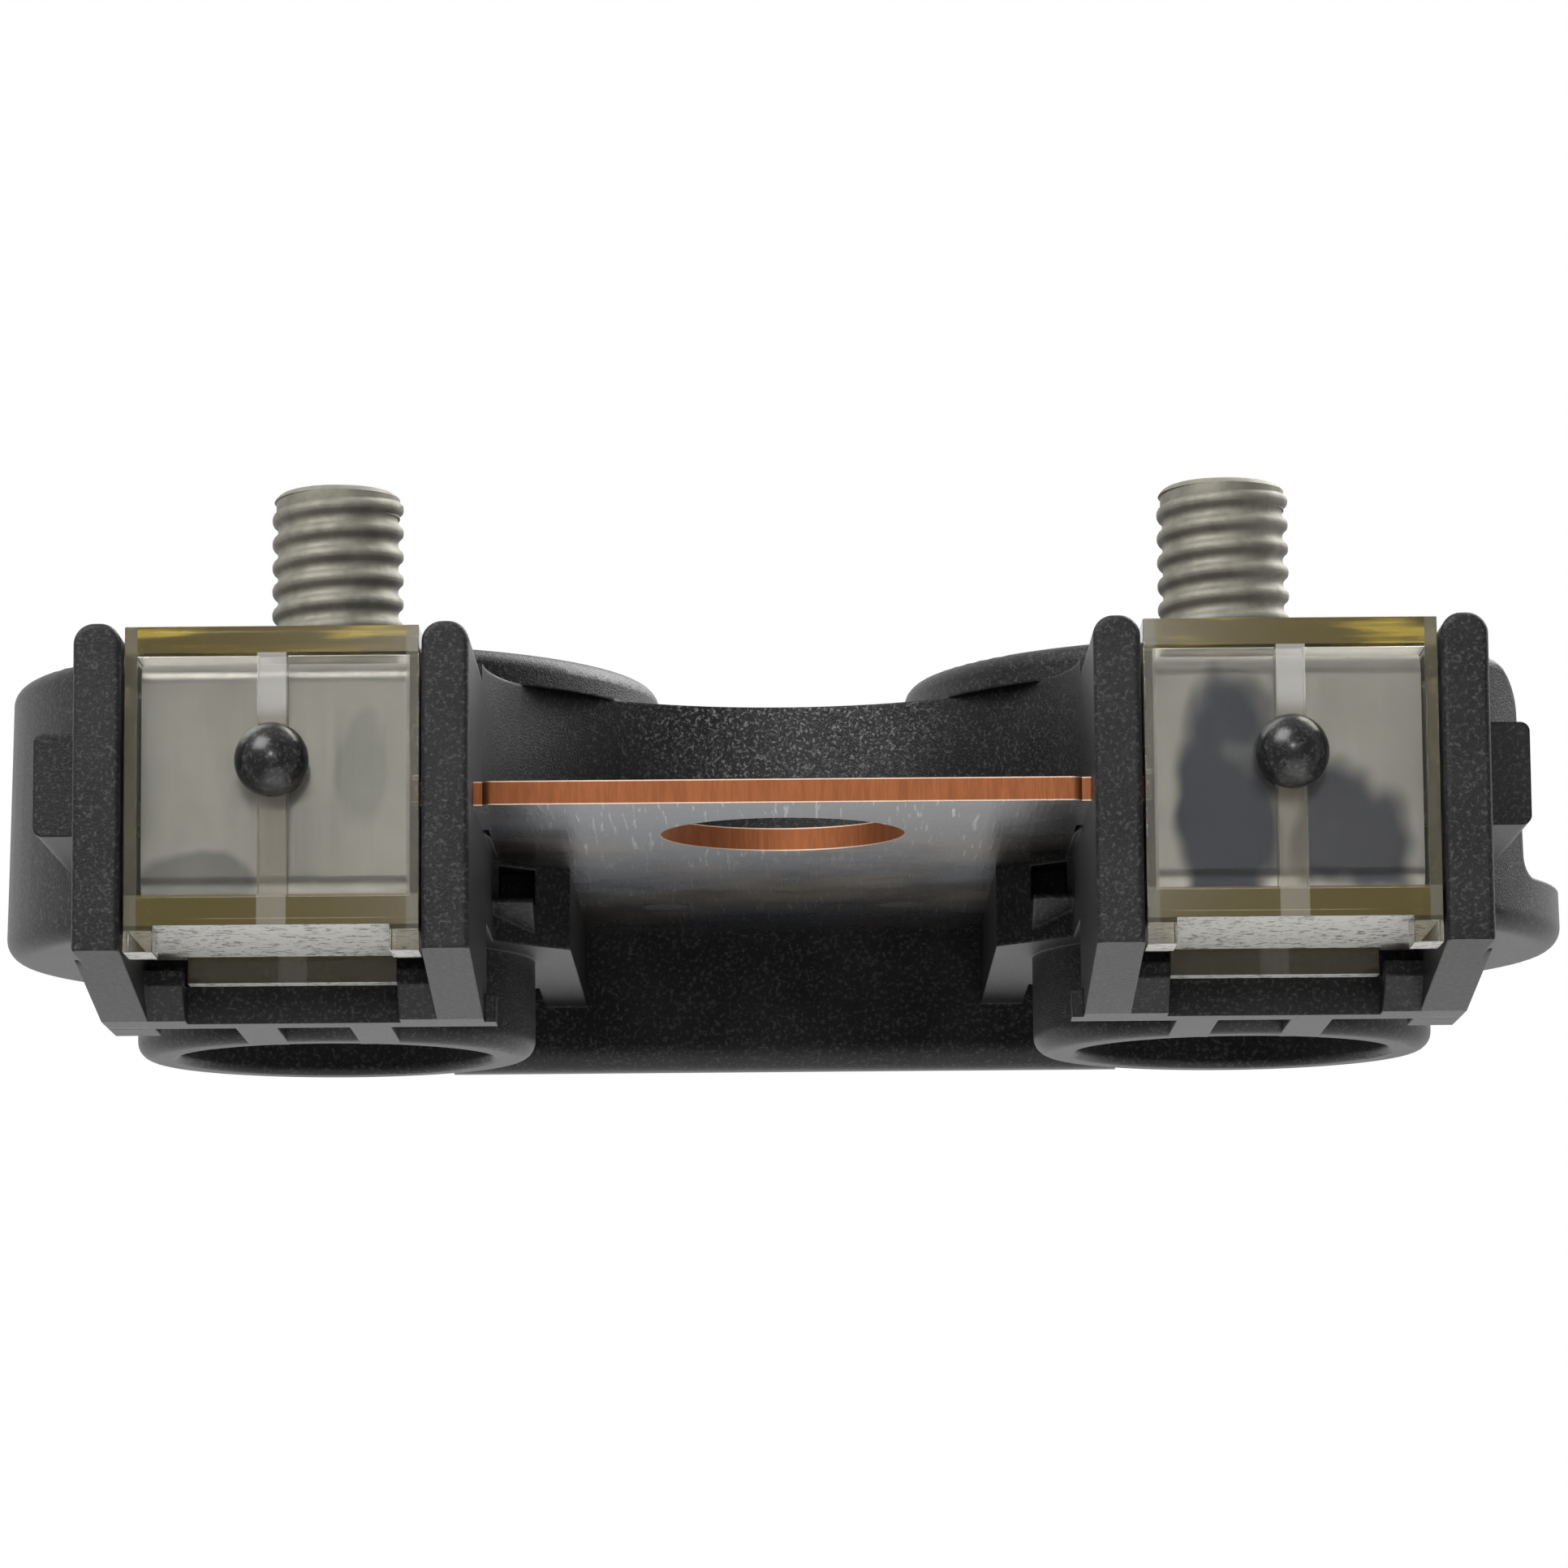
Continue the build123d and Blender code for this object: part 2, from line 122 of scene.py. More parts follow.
class FinishSettings(bpy.types.PropertyGroup):
    """Colours and grain of the fuse's materials."""

    moulding: colour_prop("Moulding", "Black glass-filled plastic", (0.0035, 0.0035, 0.004))
    tin: colour_prop("Tin plate", "Plated faces of the sheet metal", (0.155, 0.163, 0.18))
    tarnish: colour_prop("Tarnish", "Brownish film on the tin plate", (0.20, 0.165, 0.125))
    scratch: colour_prop("Scratch", "Bright scratches in the tin plate", (0.60, 0.60, 0.62))
    copper: colour_prop("Copper", "Bare copper on punched edges", (0.32, 0.115, 0.049))
    burr: colour_prop("Burr", "Bright lines along the punched edges", (0.80, 0.62, 0.50))
    steel: colour_prop("Stud plating", "Plating of the threaded studs", (0.235, 0.225, 0.185))
    link: colour_prop("Fuse link", "Plated fuse link behind a cover", (0.35, 0.345, 0.34))
    # Painted reflection: dark patches on the fuse links that stand in for dark surroundings mirrored
    # in the metal.
    painted_reflection: colour_prop("Heat tint", "Blue-black heat tint on the fuse links", (0.022, 0.026, 0.042))
    cover: colour_prop("Cover", "Clear cover", (0.98, 0.975, 0.95))
    wall_tint: colour_prop("Wall tint", "Cover's walls seen edge on", (0.085, 0.064, 0.015))
    wall_light: colour_prop("Wall light", "Light streaks in those walls", (0.36, 0.27, 0.045))
    side_tint: colour_prop("Side tint", "Cover's side walls", (0.13, 0.12, 0.085))
    rib_low: colour_prop("Rib low", "Cover's rib below the formed head", (0.20, 0.18, 0.135))
    rib_high: colour_prop("Rib high", "Cover's rib above the formed head", (0.52, 0.51, 0.49))
    cover_depth: colour_prop("Cover depth", "What deep plastic lets through", (0.86, 0.76, 0.36))
    underside: colour_prop("Underside", "Cover's rough underside", (0.76, 0.75, 0.71))
    grit: colour_prop("Grit", "Dark grit on that underside", (0.14, 0.13, 0.11))
    dust: colour_prop("Dust", "Pale dust in the moulding's grain", (0.072, 0.070, 0.068))
    speck: colour_prop("Speck", "Pale specks in the moulding", (0.30, 0.29, 0.27))
    # Painted highlight: pale specks on the bolt recess wall that stand in for light reflected off
    # it.
    painted_highlight: colour_prop("Scuff", "Scuffs on the bolt recess", (0.20, 0.195, 0.19))
    head_height: length_prop("Head height", "Height of the formed heads", 9.55 * MM)
    head_reach: length_prop("Head reach", "Radius that takes in a formed head", 1.62 * MM)
    grain: length_prop("Grain", "Size of the moulding's surface grain", 0.09 * MM)
    round_edge: length_prop("Edge rounding", "Rounding the moulding's edges seem to have", 0.16 * MM)


class ThreadSettings(bpy.types.PropertyGroup):
    """Thread of the studs."""

    radius: length_prop("Crest radius", "Radius over the thread's crests", 3.0 * MM)
    pitch: length_prop("Pitch", "Distance between two crests", 1.1 * MM)
    depth: length_prop("Depth", "Depth of the thread below its crests", 0.26 * MM)
    steps: IntProperty(name="Steps", description="Facets round a turn", default=48, min=12, max=96)
    tip_round: length_prop("Tip rounding", "Rounding of the stud's tip", 0.8 * MM)
    neck_height: length_prop("Neck height", "Plain neck above the terminal", 0.3 * MM)
    neck_extra: length_prop("Neck extra", "How far the neck stands past the crests", 0.18 * MM)
    head_round: length_prop("Head rounding", "Rounding under the hexagon head", 0.75 * MM)


class CoverSettings(bpy.types.PropertyGroup):
    """Walls of the clear covers."""

    front_wall: length_prop("Front wall", "Thickness of the front wall", 1.3 * MM)
    side_wall: length_prop("Side wall", "Thickness of the side walls", 0.4 * MM)
    top_wall: length_prop("Top wall", "Thickness of the top wall", 1.1 * MM)
    bottom_wall: length_prop("Bottom wall", "Thickness of the bottom wall", 1.25 * MM)
    drop: length_prop("Lip drop", "How far the lip hangs below the bottom wall", 1.15 * MM)
    lip_inset: length_prop("Lip inset", "From the side to the end of the lip", 1.58 * MM)
    lip_depth: length_prop("Lip depth", "Thickness of the lip", 1.2 * MM)
    foot_width: length_prop("Foot width", "Width of the front feet", 1.2 * MM)
    foot_depth: length_prop("Foot depth", "Depth of the front feet", 2.4 * MM)
    foot_drop: length_prop("Foot drop", "How far the feet hang down", 1.1 * MM)
    bore_radius: length_prop("Bore radius", "Hole round the housing's post", 1.27 * MM)
    slot_depth: length_prop("Slot depth", "Slot for the plate, from the side", 1.2 * MM)
    slot_back: length_prop("Slot setback", "From the link's front to the slot", 0.45 * MM)
    slot_room: length_prop("Slot room", "Room above and below the plate", 0.15 * MM)
    rib_width: length_prop("Rib width", "Width of the rib inside the front wall", 1.2 * MM)
    rib_depth: length_prop("Rib depth", "How far the rib stands off the front wall", 0.5 * MM)
    edge: length_prop("Edge", "Rounding of the edges", 0.18 * MM)


class StageSettings(bpy.types.PropertyGroup):
    """Floor, light and camera."""

    floor: colour_prop("Floor", "Pale floor", (0.86, 0.86, 0.85))
    fill: FloatProperty(name="Fill", description="Even light from all round", default=0.55, min=0)
    room: FloatProperty(
        name="Room", description="How bright gloss sees the room in front", default=0.3, min=0
    )
    pitch: angle_prop("Camera pitch", "How far the camera looks up", 8.24)
    roll: angle_prop("Camera roll", "Turn of the camera about its view", 0.48)
    lens: FloatProperty(name="Lens", description="Focal length in mm", default=141.8, min=1)
    distance: length_prop("Camera distance", "From the camera to the studs", 0.27775)
    drop: length_prop("Camera drop", "How far the camera stands below the part's foot", 0.0278)
    shift: length_prop("Camera shift", "How far the camera stands to the right", 0.00008)


class FuseSettings(bpy.types.PropertyGroup):
    """All settings of the battery fuse."""

    finish: PointerProperty(type=FinishSettings)
    thread: PointerProperty(type=ThreadSettings)
    cover: PointerProperty(type=CoverSettings)
    stage: PointerProperty(type=StageSettings)


class Socket:
    """An output socket of a material that answers Python's arithmetic with Math nodes."""

    def __init__(self, shader, output):
        self.shader = shader
        self.output = output

    def maths(self, operation, *values):
        """One Math node on this socket and the values given."""
        return self.shader.node("ShaderNodeMath", {"operation": operation}, (self, *values))

    def __add__(self, other):
        return self.maths("ADD", other)

    __radd__ = __add__

    def __mul__(self, other):
        return self.maths("MULTIPLY", other)

    __rmul__ = __mul__

    def __sub__(self, other):
        return self.maths("SUBTRACT", other)

    def __rsub__(self, other):
        return self.shader.node("ShaderNodeMath", {"operation": "SUBTRACT"}, (other, self))

    def __truediv__(self, other):
        return self.maths("DIVIDE", other)

    def __pow__(self, other):
        return self.maths("POWER", other)

    def __lt__(self, other):
        return self.maths("LESS_THAN", other)

    def __gt__(self, other):
        return self.maths("GREATER_THAN", other)

    def __abs__(self):
        return self.maths("ABSOLUTE")

    def between(self, low, high):
        """0 below low, 1 above high, and a smooth ramp between them."""
        return self.shader.node(
            "ShaderNodeMapRange",
            {"interpolation_type": "SMOOTHSTEP"},
            {"Value": self, "From Min": low, "From Max": high},
        )

    def most(self, other):
        """The greater of two values."""
        return self.maths("MAXIMUM", other)


class Shader:
    """A node material, or the world, under construction."""

    def __init__(self, name, library=None):
        self.block = (bpy.data.materials if library is None else library).new(name)
        self.block.use_nodes = True
        self.tree = self.block.node_tree
        self.tree.nodes.clear()

    def node(self, kind, settings=None, inputs=None, output=0):
        """Adds a node, sets its settings, then its sockets' values or links; gives an output."""
        made = self.tree.nodes.new(kind)
        for key, value in (settings or {}).items():
            setattr(made, key, value)
        pairs = inputs.items() if isinstance(inputs, dict) else enumerate(inputs or ())
        for key, value in pairs:
            if isinstance(value, Socket):
                self.tree.links.new(value.output, made.inputs[key])
            else:
                made.inputs[key].default_value = value
        return Socket(self, made.outputs[output])

    def place(self):
        """The piece's own coordinates."""
        return self.node("ShaderNodeTexCoord", output="Object")

    def along(self, vector, axis):
        """One coordinate of a vector."""
        return self.node("ShaderNodeSeparateXYZ", None, (vector,), output=axis)

    def stretched(self, vector, scale):
        """A vector scaled along each axis."""
        return self.node("ShaderNodeMapping", None, {"Vector": vector, "Scale": scale})

    def noise(self, vector, scale, detail=2.0, roughness=0.5):
        """A noise field, about 0.5 on average."""
        return self.node(
            "ShaderNodeTexNoise",
            None,
            {"Vector": vector, "Scale": scale, "Detail": detail, "Roughness": roughness},
        )

    def cells(self, vector, scale):
        """Distance to the nearest of scattered points."""
        inputs = {"Vector": vector, "Scale": scale}
        return self.node("ShaderNodeTexVoronoi", None, inputs, output="Distance")

    def mix(self, factor, low, high):
        """A colour between two colours."""
        first, second = (c if isinstance(c, Socket) else (*c, 1) for c in (low, high))
        inputs = {"Factor": factor, 6: first, 7: second}
        return self.node("ShaderNodeMix", {"data_type": "RGBA"}, inputs, output=2)

    def bump(self, height, distance, strength=1.0, normal=None):
        """The surface's normal, bent by a height field."""
        inputs = {"Height": height, "Distance": distance, "Strength": strength}
        if normal:
            inputs["Normal"] = normal
        return self.node("ShaderNodeBump", None, inputs)

    def principled(self, **sockets):
        """A Principled surface with these sockets."""
        named = {key.replace("_", " "): value for key, value in sockets.items()}
        for key, value in named.items():
            if not isinstance(value, (Socket, float)):
                named[key] = (*value, 1)
        return self.node("ShaderNodeBsdfPrincipled", None, named)

    def over(self, factor, under, top):
        """One surface laid over another."""
        return self.node("ShaderNodeMixShader", None, (factor, under, top))

    def finish(self, **sockets):
        """Ends in one Principled surface with these sockets."""
        return self.end(self.principled(**sockets))

    def end(self, surface, volume=None, kind="ShaderNodeOutputMaterial"):
        """Links a surface, and a volume if there is one, to the output."""
        out = self.tree.nodes.new(kind)
        self.tree.links.new(surface.output, out.inputs["Surface"])
        if volume:
            self.tree.links.new(volume.output, out.inputs["Volume"])
        return self.block


def settings():
    """The add-on's settings in this scene."""
    return bpy.context.scene.battery_fuse


def darker(colour, share):
    """A colour times a number."""
    return [value * share for value in colour]


# Finishes


def moulded_plastic():
    """Black glass-filled plastic: fine grain, dust, pale specks painted on the recess wall as a
    highlight, and glossier formed heads.
    """
    look = settings().finish
    shader = Shader("moulding")
    place = shader.place()
    across, along, up = (shader.along(place, axis) for axis in "XYZ")
    cover_low, cover_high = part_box("cover_right")
    grain = shader.noise(place, 1 / look.grain, 3, 0.65)
    waves = shader.noise(place, 260, 2)
    dust = shader.noise(place, 5200, 2, 0.7).between(0.5, 0.7)
    specks = (shader.cells(place, 6200) < 0.15) * shader.noise(place, 1300, 1).between(0.5, 0.62)
    lighter = [value * 2.0 + 0.002 for value in look.moulding]
    tone = shader.mix(waves.between(0.3, 0.7), look.moulding, lighter)
    tone = shader.mix(dust * 0.5, tone, look.dust)
    tone = shader.mix(specks * 0.07, tone, look.speck)

    # A painted highlight of pale specks in the middle of the recess wall.
    wall_top = cover_high.z - 1 * MM
    reach = (across / HIGHLIGHT_WIDE) ** 2 + ((up - wall_top) / HIGHLIGHT_TALL) ** 2
    highlight_area = (1 - reach.between(0.1, 1.0)) * (along < HIGHLIGHT_BACK)
    highlight_specks = shader.noise(place, 6400, 2, 0.75).between(0.52, 0.68) * highlight_area
    tone = shader.mix(highlight_specks * 0.75, tone, look.painted_highlight)

    head_x, head_y = (cover_low.x + cover_high.x) / 2, cover_low.y
    away = (abs(across) - head_x) ** 2 + (along - head_y) ** 2 + (up - look.head_height) ** 2
    head = away < look.head_reach ** 2
    soft_edges = shader.node("ShaderNodeBevel", {"samples": 6}, {"Radius": look.round_edge})
    fine = shader.bump(grain * (1 - head * 0.7), 0.03 * MM, 1.0, soft_edges)
    return shader.finish(
        Base_Color=tone,
        Roughness=0.31 + grain * 0.16 - head * 0.08,
        Coat_Weight=head * 0.35,
        Coat_Roughness=0.22,
        Normal=shader.bump(waves, 0.03 * MM, 0.6, fine),
        Specular_IOR_Level=0.26,
    )


def tin_plate():
    """Dull tin on the faces of a punched sheet, bare copper on its cut edges."""
    look = settings().finish
    shader = Shader("bar_metal")
    place = shader.place()
    facing = shader.node("ShaderNodeNewGeometry", output="Normal")
    cut = abs(shader.along(facing, "Z")) < 0.5
    cloud = shader.noise(place, 220, 4, 0.6)
    tarnish = shader.noise(shader.stretched(place, (90, 150, 90)), 1, 3, 0.6)
    behind = shader.along(place, "Y").between(TARNISH_FROM, TARNISH_TO)
    lines = shader.noise(shader.stretched(place, (5200, 190, 400)), 1, 2, 0.6)
    scratches = lines.between(0.6, 0.68)
    tin = shader.mix(cloud.between(0.35, 0.7), look.tin, darker(look.tin, 0.82))
    tin = shader.mix(tarnish.between(0.42, 0.62) * (0.2 + behind * 0.6), tin, look.tarnish)
    tin = shader.mix(scratches * 0.7, tin, look.scratch)

    shear = shader.noise(shader.stretched(place, (3400, 3400, 500)), 1, 3, 0.7)
    low, high = (corner.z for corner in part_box("bus_bar"))
    from_middle = abs(shader.along(place, "Z") - (low + high) / 2)
    burr = (from_middle > (high - low) * 0.45) * cut
    raw = shader.mix(shear.between(0.3, 0.75), look.copper, darker(look.copper, 0.78))
    raw = shader.mix(burr * 0.8, raw, look.burr)
    return shader.finish(
        Base_Color=shader.mix(cut, tin, raw),
        Metallic=1.0,
        Roughness=0.19 + cloud * 0.18 + cut * 0.33 - scratches * 0.05,
        Normal=shader.bump(lines * 0.4 + cloud * 0.3 + shear * cut, 0.02 * MM),
    )


def folded_sheet():
    """Plated fuse link: satin metal with a faint mill direction and dark patches of painted
    reflection.
    """
    look = settings().finish
    shader = Shader("link_metal")
    place = shader.place()
    across, up = shader.along(place, "X"), shader.along(place, "Z")
    cloud = shader.noise(place, 180, 3, 0.55)
    mill = shader.noise(shader.stretched(place, (2600, 300, 160)), 1, 2, 0.6)
    wobble = shader.noise(shader.stretched(place, (270, 270, 180)), 1, 2, 0.45) * 4.0 - 2.0
    tone = shader.mix(cloud.between(0.3, 0.7), look.link, darker(look.link, 0.84))

    low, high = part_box("cover_right")
    middle = (low.x + high.x) / 2
    # Dark patches painted on the links as reflections.
    marks = []
    for side, (x, z), (wide, tall), strength in DARK_REFLECTION_MARKS:
        sideways = (across - (SIDES[side] * middle + x)) / wide
        upwards = (up - (look.head_height + z)) / tall
        reach = sideways ** 2 + upwards ** 2 + wobble
        marks.append((1 - reach.between(0.6, 1.35)) * strength)
    painted_reflection = marks[0]
    for mark in marks[1:]:
        painted_reflection = painted_reflection.most(mark)
    return shader.finish(
        Base_Color=shader.mix(painted_reflection, tone, look.painted_reflection),
        Metallic=1.0,
        Roughness=0.3 + mill * 0.14,
        Normal=shader.bump(mill * 0.3 + cloud + wobble * 0.6, 0.03 * MM),
    )


def stud_plating():
    """Zinc-nickel plating: olive grey, dull, clouded and finely pitted."""
    look = settings().finish
    shader = Shader("stud_metal")
    place = shader.place()
    cloud = shader.noise(place, 900, 3, 0.6)
    pits = shader.noise(place, 6000, 2)
    return shader.finish(
        Base_Color=shader.mix(cloud.between(0.35, 0.7), look.steel, darker(look.steel, 0.72)),
        Metallic=0.55,
        Roughness=0.55 + cloud * 0.15,
        Normal=shader.bump(pits * 0.5 + cloud, 0.012 * MM),
    )


def clear_plastic():
    """Clear cover: yellowish along its top and bottom walls, rough and pale underneath."""
    look, walls = settings().finish, settings().cover
    shader = Shader("cover_clear")
    place = shader.place()
    low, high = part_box("cover_right")
    height = shader.along(place, "Z")
    up_or_down = shader.along(shader.node("ShaderNodeNewGeometry", output="Normal"), "Z")
    from_middle = abs(abs(shader.along(place, "X")) - (low.x + high.x) / 2)
    dust = (shader.cells(place, 2600) < 0.06) * shader.noise(place, 800, 1).between(0.5, 0.6)
    normal = shader.bump(shader.noise(place, 120, 1), 0.01 * MM)
    clear = shader.principled(
        Base_Color=look.cover,
        Transmission_Weight=1.0,
        IOR=1.53,
        Roughness=0.03 + dust * 0.2,
        Normal=normal,
    )

    floor = low.z + walls.drop
    above = height > high.z - walls.top_wall
    below = (height < floor + walls.bottom_wall) * (0.35 + (height > floor) * 0.65)
    beside = from_middle > (high.x - low.x) / 2 - walls.side_wall * 1.3
    rib = (from_middle < walls.rib_width / 2) * (height < high.z - walls.top_wall)
    lit = height.between(look.head_height + 1 * MM, look.head_height + 2.5 * MM)
    streaks = shader.noise(shader.stretched(place, (130, 60, 1900)), 1, 2, 0.5)
    tint = shader.mix(streaks.between(0.46, 0.64) * above, look.wall_tint, look.wall_light)
    tint = shader.mix(beside, tint, look.side_tint)
    tint = shader.mix(rib, tint, shader.mix(lit, look.rib_low, look.rib_high))
    tinted = shader.principled(Base_Color=tint, Roughness=0.12, Normal=normal)
    marked = above.most(below).most(beside * 0.45).most(rib * (0.4 + lit * 0.2))
    upright = 1 - (abs(up_or_down) > 0.8)
    surface = shader.over(marked * upright * 0.66, clear, tinted)

    grit = shader.noise(place, 2400, 3, 0.7).between(0.54, 0.6)
    pale = shader.mix(grit * 0.8, look.underside, look.grit)
    rough = shader.principled(Base_Color=pale, Roughness=0.4)
    under = (up_or_down < -0.8) * (height < floor + 0.1 * MM) * 0.7
    depth = {"Color": (*look.cover_depth, 1), "Density": 70.0}
    return shader.end(
        shader.over(under, surface, rough),
        volume=shader.node("ShaderNodeVolumeAbsorption", None, depth),
    )


# Modelling


def fresh(kind, name, **size):
    """Adds one primitive with nothing else selected, its place in its mesh, and names it."""
    bpy.ops.object.select_all(action="DESELECT")
    getattr(bpy.ops.mesh, f"primitive_{kind}_add")(**size)
    bpy.ops.object.transform_apply(location=True, rotation=True, scale=True)
    piece = bpy.context.active_object
    piece.name = piece.data.name = name
    return piece


def block(name, low, high):
    """A box between two corners."""
    low, high = Vector(low), Vector(high)
    return fresh("cube", name, size=1, location=(low + high) / 2, scale=high - low)


def pick(piece, kind, test):
    """In edit mode, selects the faces, edges or vertices whose middle passes a test."""
    bpy.ops.mesh.select_mode(type=kind)
    bpy.ops.mesh.select_all(action="DESELECT")
    mesh = bmesh.from_edit_mesh(piece.data)
    if kind == "FACE":
        for face in mesh.faces:
            face.select_set(test(face.calc_center_median(), face.normal))
    elif kind == "EDGE":
        for edge in mesh.edges:
            edge.select_set(test((edge.verts[0].co + edge.verts[1].co) / 2, edge))
    else:
        for vert in mesh.verts:
            vert.select_set(test(vert.co, vert))
    mesh.select_flush_mode()
    bmesh.update_edit_mesh(piece.data)


def slice_at(axis, *places):
    """In edit mode, cuts new edges across the whole mesh at places along an axis."""
    for value in places:
        bpy.ops.mesh.select_all(action="SELECT")
        point, normal = [0, 0, 0], [0, 0, 0]
        point[axis], normal[axis] = value, 1
        bpy.ops.mesh.bisect(plane_co=point, plane_no=normal, threshold=CUT_THRESHOLD)


def pull(move):
    """In edit mode, extrudes the selected faces by a move."""
    bpy.ops.mesh.extrude_region_move(TRANSFORM_OT_translate={"value": move})


def carve(piece, tool, operation="DIFFERENCE"):
    """Applies a boolean with another mesh, then removes that object."""
    cut = piece.modifiers.new("cut", "BOOLEAN")
    cut.operation, cut.solver, cut.object = operation, "EXACT", tool
    bpy.context.view_layer.objects.active = piece
    bpy.ops.object.modifier_apply(modifier=cut.name)
    bpy.data.objects.remove(tool)


def soften(piece, width, segments):
    """Rounds the piece's sharp edges and shades it smoothly, its flat faces flat."""
    bevel = piece.modifiers.new("edges", "BEVEL")
    bevel.width, bevel.segments, bevel.limit_method = width, segments, "ANGLE"
    bevel.angle_limit = math.radians(SHARP)
    bpy.context.view_layer.objects.active = piece
    bpy.ops.object.modifier_apply(modifier=bevel.name)
    smooth(piece)
    flat = piece.modifiers.new("faces", "WEIGHTED_NORMAL")
    flat.keep_sharp = True
    bpy.ops.object.modifier_apply(modifier=flat.name)


def smooth(piece, angle=SHARP):
    """Shades a piece smoothly except over edges sharper than an angle in degrees."""
    bpy.ops.object.select_all(action="DESELECT")
    piece.select_set(True)
    bpy.context.view_layer.objects.active = piece
    bpy.ops.object.shade_smooth_by_angle(angle=math.radians(angle))


def twin(piece, name, flip):
    """A copy with its own mesh on the other side, moved there or, with flip, mirrored."""
    bpy.ops.object.select_all(action="DESELECT")
    piece.select_set(True)
    bpy.context.view_layer.objects.active = piece
    bpy.ops.object.duplicate()
    copy = bpy.context.active_object
    copy.name = copy.data.name = name
    bpy.ops.object.mode_set(mode="EDIT")
    bpy.ops.mesh.select_all(action="SELECT")
    if flip:
        bpy.ops.transform.mirror(
            orient_type="GLOBAL", constraint_axis=(True, False, False), center_override=(0, 0, 0)
        )
        bpy.ops.mesh.normals_make_consistent(inside=False)
    else:
        right, left = (sum(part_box(f"stud_{side}"), Vector()) / 2 for side in ("right", "left"))
        bpy.ops.transform.translate(value=left - right)
    bpy.ops.object.mode_set(mode="OBJECT")
    return copy


def paint(piece, material):
    """Gives a piece one material."""
    piece.data.materials.clear()
    piece.data.materials.append(material)


def dress(piece, material, node):
    """Gives a piece its material and its body, and hides the CAD node that it stands for."""
    paint(piece, material)
    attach(piece, BODY)
    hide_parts(node)


class FUSE_OT_moulding(bpy.types.Operator):
    """Give the black moulding its grain"""

    bl_idname = "battery_fuse.moulding"
    bl_label = "Moulding"

    def execute(self, context):
        paint(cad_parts["housing"], moulded_plastic())
        return {"FINISHED"}


class FUSE_OT_sheet_metal(bpy.types.Operator):
    """Plate the bus bar, the terminals and the fuse links"""

    bl_idname = "battery_fuse.sheet_metal"
    bl_label = "Sheet metal"

    def execute(self, context):
        tin, link = tin_plate(), folded_sheet()
        paint(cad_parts["bus_bar"], tin)
        for side in SIDES:
            paint(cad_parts[f"terminal_{side}"], tin)
            paint(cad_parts[f"link_{side}"], link)
        return {"FINISHED"}


